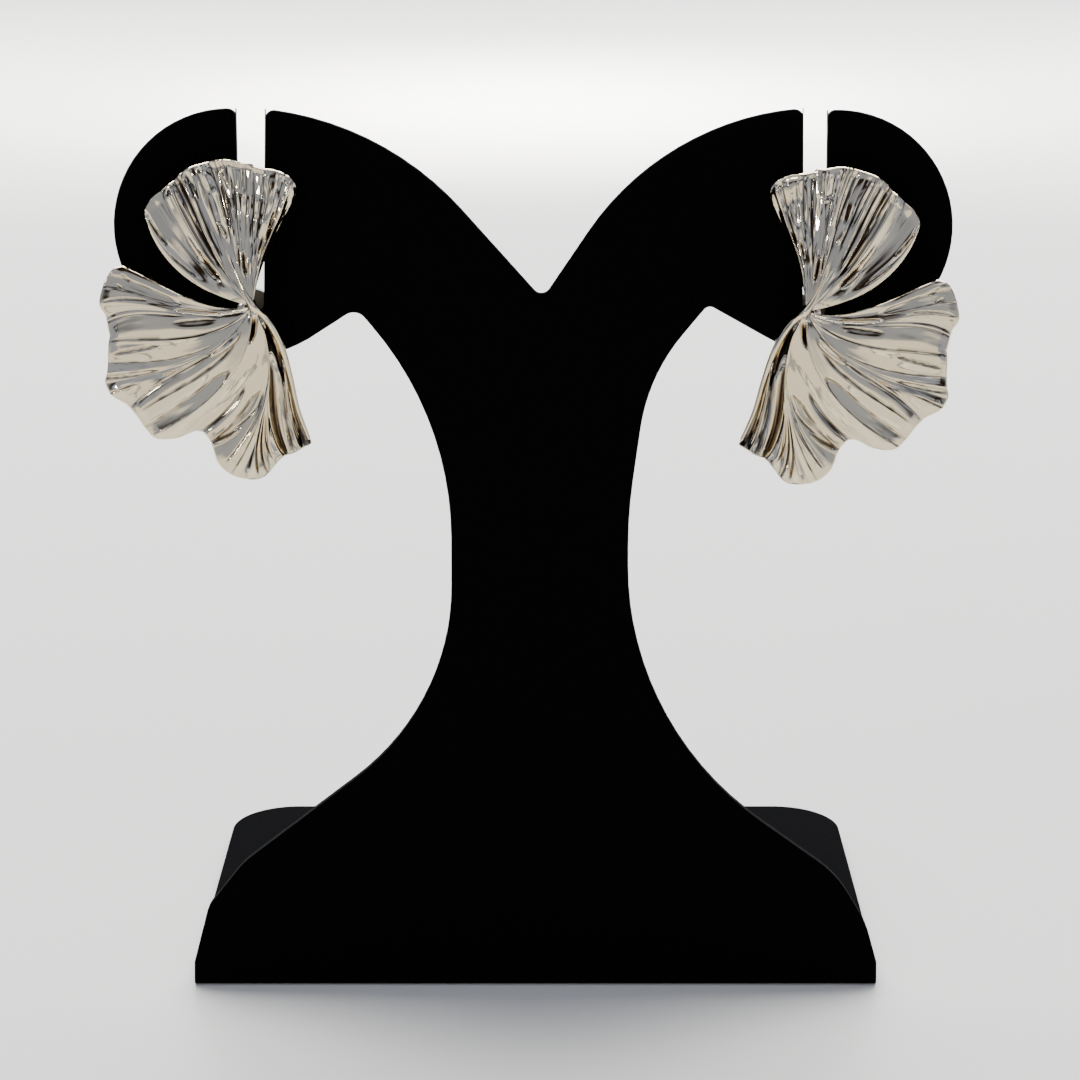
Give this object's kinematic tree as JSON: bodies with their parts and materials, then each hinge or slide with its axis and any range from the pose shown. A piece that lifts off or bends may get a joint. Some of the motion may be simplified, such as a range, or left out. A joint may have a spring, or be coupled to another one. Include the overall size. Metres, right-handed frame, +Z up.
{
  "type": "pair of ginkgo leaf stud earrings on their display stand",
  "caption": "Mirrored pair of cast, folded ginkgo-leaf ear studs with straight posts and ear nuts, hung in the slots of a plain velvet-covered display stand.",
  "frame": {"origin": "on the floor, under the middle of the whole object", "axes": "+X to the right seen from the front, +Y to the back, +Z up; the upright leans back by 10 degrees"},
  "size_m": [0.1083, 0.0596, 0.1118],
  "materials": {
    "velvet": "black short-pile velvet over board",
    "leaf_metal": "pale gold plate, mirror polished casting",
    "post_metal": "plain drawn and turned metal"
  },
  "bodies": {
    "root": {"display_stand": "velvet", "left_leaf": "leaf_metal", "right_leaf": "leaf_metal", "left_ear_nut": "post_metal", "right_ear_nut": "post_metal"}
  },
  "joints": []
}
